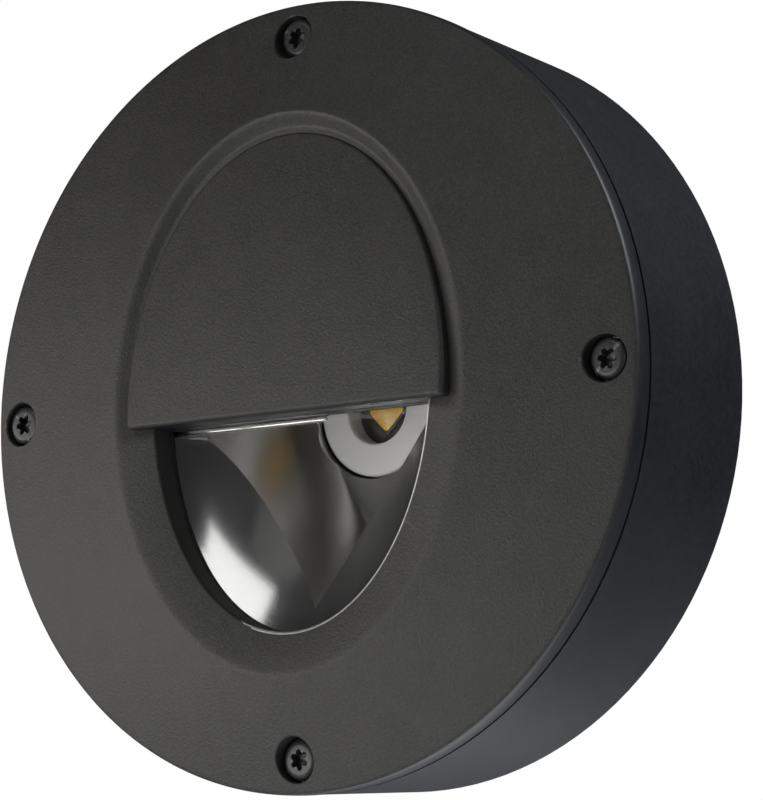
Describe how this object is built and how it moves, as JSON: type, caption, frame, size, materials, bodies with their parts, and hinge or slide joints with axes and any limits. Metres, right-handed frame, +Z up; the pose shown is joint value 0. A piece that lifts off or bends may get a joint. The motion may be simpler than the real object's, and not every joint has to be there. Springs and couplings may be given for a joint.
{
  "type": "step light",
  "caption": "Round surface-mounted wall step light: drafted cast housing, cover with an eyelid hood over a half-oval opening, bright reflector and a single lamp.",
  "frame": {"origin": "centre of the flat back face that lies on the wall", "axes": "+Z up, +Y into the wall, so the lit face looks along -Y; +X to the right as seen from the front"},
  "size_m": [0.155, 0.0464, 0.155],
  "materials": {
    "cast_black": "smooth satin powder coat",
    "cover_black": "fine textured powder coat",
    "foam_black": "closed-cell foam",
    "seal_black": "silicone",
    "screw_black": "black passivated steel",
    "washer_steel": "plain",
    "clear_glass": "clear toughened",
    "frame_steel": "pressed sheet",
    "screw_steel": "zinc plated",
    "bright_reflector": "bright polished",
    "thermal_pad": "soft",
    "board_white": "white solder mask on aluminium",
    "lamp_base": "ceramic",
    "lamp_yellow": "phosphor layer under clear silicone",
    "holder_white": "moulded",
    "driver_case": "moulded",
    "driver_lid": "potting",
    "terminal_plastic": "moulded",
    "screw_brass": "plain",
    "clamp_plastic": "moulded",
    "earth_brass": "tinned",
    "lead_brown": "insulation",
    "lead_blue": "insulation",
    "lead_green": "insulation",
    "lead_red": "insulation",
    "lead_dark": "insulation"
  },
  "bodies": {
    "housing": {"housing": "cast_black", "wall_gasket": "foam_black", "cover_gasket": "seal_black", "cable_grommet": "seal_black", "reflector": "bright_reflector", "reflector_screws": "screw_steel", "thermal_pad": "thermal_pad", "led_board": "board_white", "led_base": "lamp_base", "led_emitter": "lamp_yellow", "led_holder": "holder_white", "holder_screws": "screw_steel", "driver_case": "driver_case", "driver_lid": "driver_lid", "driver_screws": "screw_steel", "terminal_block": "terminal_plastic", "terminal_screws": "screw_brass", "cable_clamp": "clamp_plastic", "clamp_screws": "screw_steel", "earth_tag": "earth_brass", "earth_screw": "screw_brass", "lead_live": "lead_brown", "lead_neutral": "lead_blue", "lead_earth": "lead_green", "lead_lamp_plus": "lead_red", "lead_lamp_minus": "lead_dark"},
    "cover": {"cover": "cover_black", "screw_washers": "washer_steel", "lens_gasket": "seal_black", "lens_glass": "clear_glass", "lens_frame": "frame_steel", "lens_frame_screws": "screw_steel"},
    "screw_top": {"cover_screw_top": "screw_black"},
    "screw_right": {"cover_screw_right": "screw_black"},
    "screw_bottom": {"cover_screw_bottom": "screw_black"},
    "screw_left": {"cover_screw_left": "screw_black"}
  },
  "joints": [
    {"name": "cover_lift", "type": "slide", "parent": "housing", "child": "cover", "axis": [0, -1, 0], "range_m": [0, 0.06]},
    {"name": "screw_top_turn", "type": "hinge", "parent": "cover", "child": "screw_top", "pos_m": [0, -0.038, 0.07074], "axis": [0, 1, 0], "continuous": true},
    {"name": "screw_right_turn", "type": "hinge", "parent": "cover", "child": "screw_right", "pos_m": [0.07074, -0.038, 0], "axis": [0, 1, 0], "continuous": true},
    {"name": "screw_bottom_turn", "type": "hinge", "parent": "cover", "child": "screw_bottom", "pos_m": [0, -0.038, -0.07074], "axis": [0, 1, 0], "continuous": true},
    {"name": "screw_left_turn", "type": "hinge", "parent": "cover", "child": "screw_left", "pos_m": [-0.07074, -0.038, 0], "axis": [0, 1, 0], "continuous": true}
  ]
}
